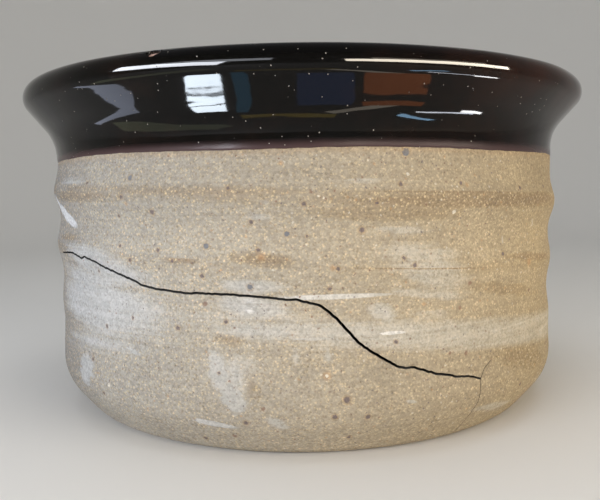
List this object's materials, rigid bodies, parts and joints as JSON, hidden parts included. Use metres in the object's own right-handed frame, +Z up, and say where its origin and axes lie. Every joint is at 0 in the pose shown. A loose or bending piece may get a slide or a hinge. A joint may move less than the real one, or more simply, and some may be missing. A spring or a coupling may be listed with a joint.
{
  "type": "cracked bowl",
  "caption": "Straight-sided hand-thrown stoneware bowl with a flared, dark glazed lip, helical throwing ridges, a turned foot bevel and a crack through the wall.",
  "frame": {"origin": "centre of the foot, on the plane that the bowl stands on", "axes": "+Z up along the axis that the bowl was thrown on; -Y towards the cracked side"},
  "size_m": [0.1672, 0.1672, 0.0934],
  "materials": {
    "stoneware": "matte",
    "dark_glaze": "gloss"
  },
  "bodies": {
    "root": {"bowl": "stoneware"}
  },
  "joints": []
}
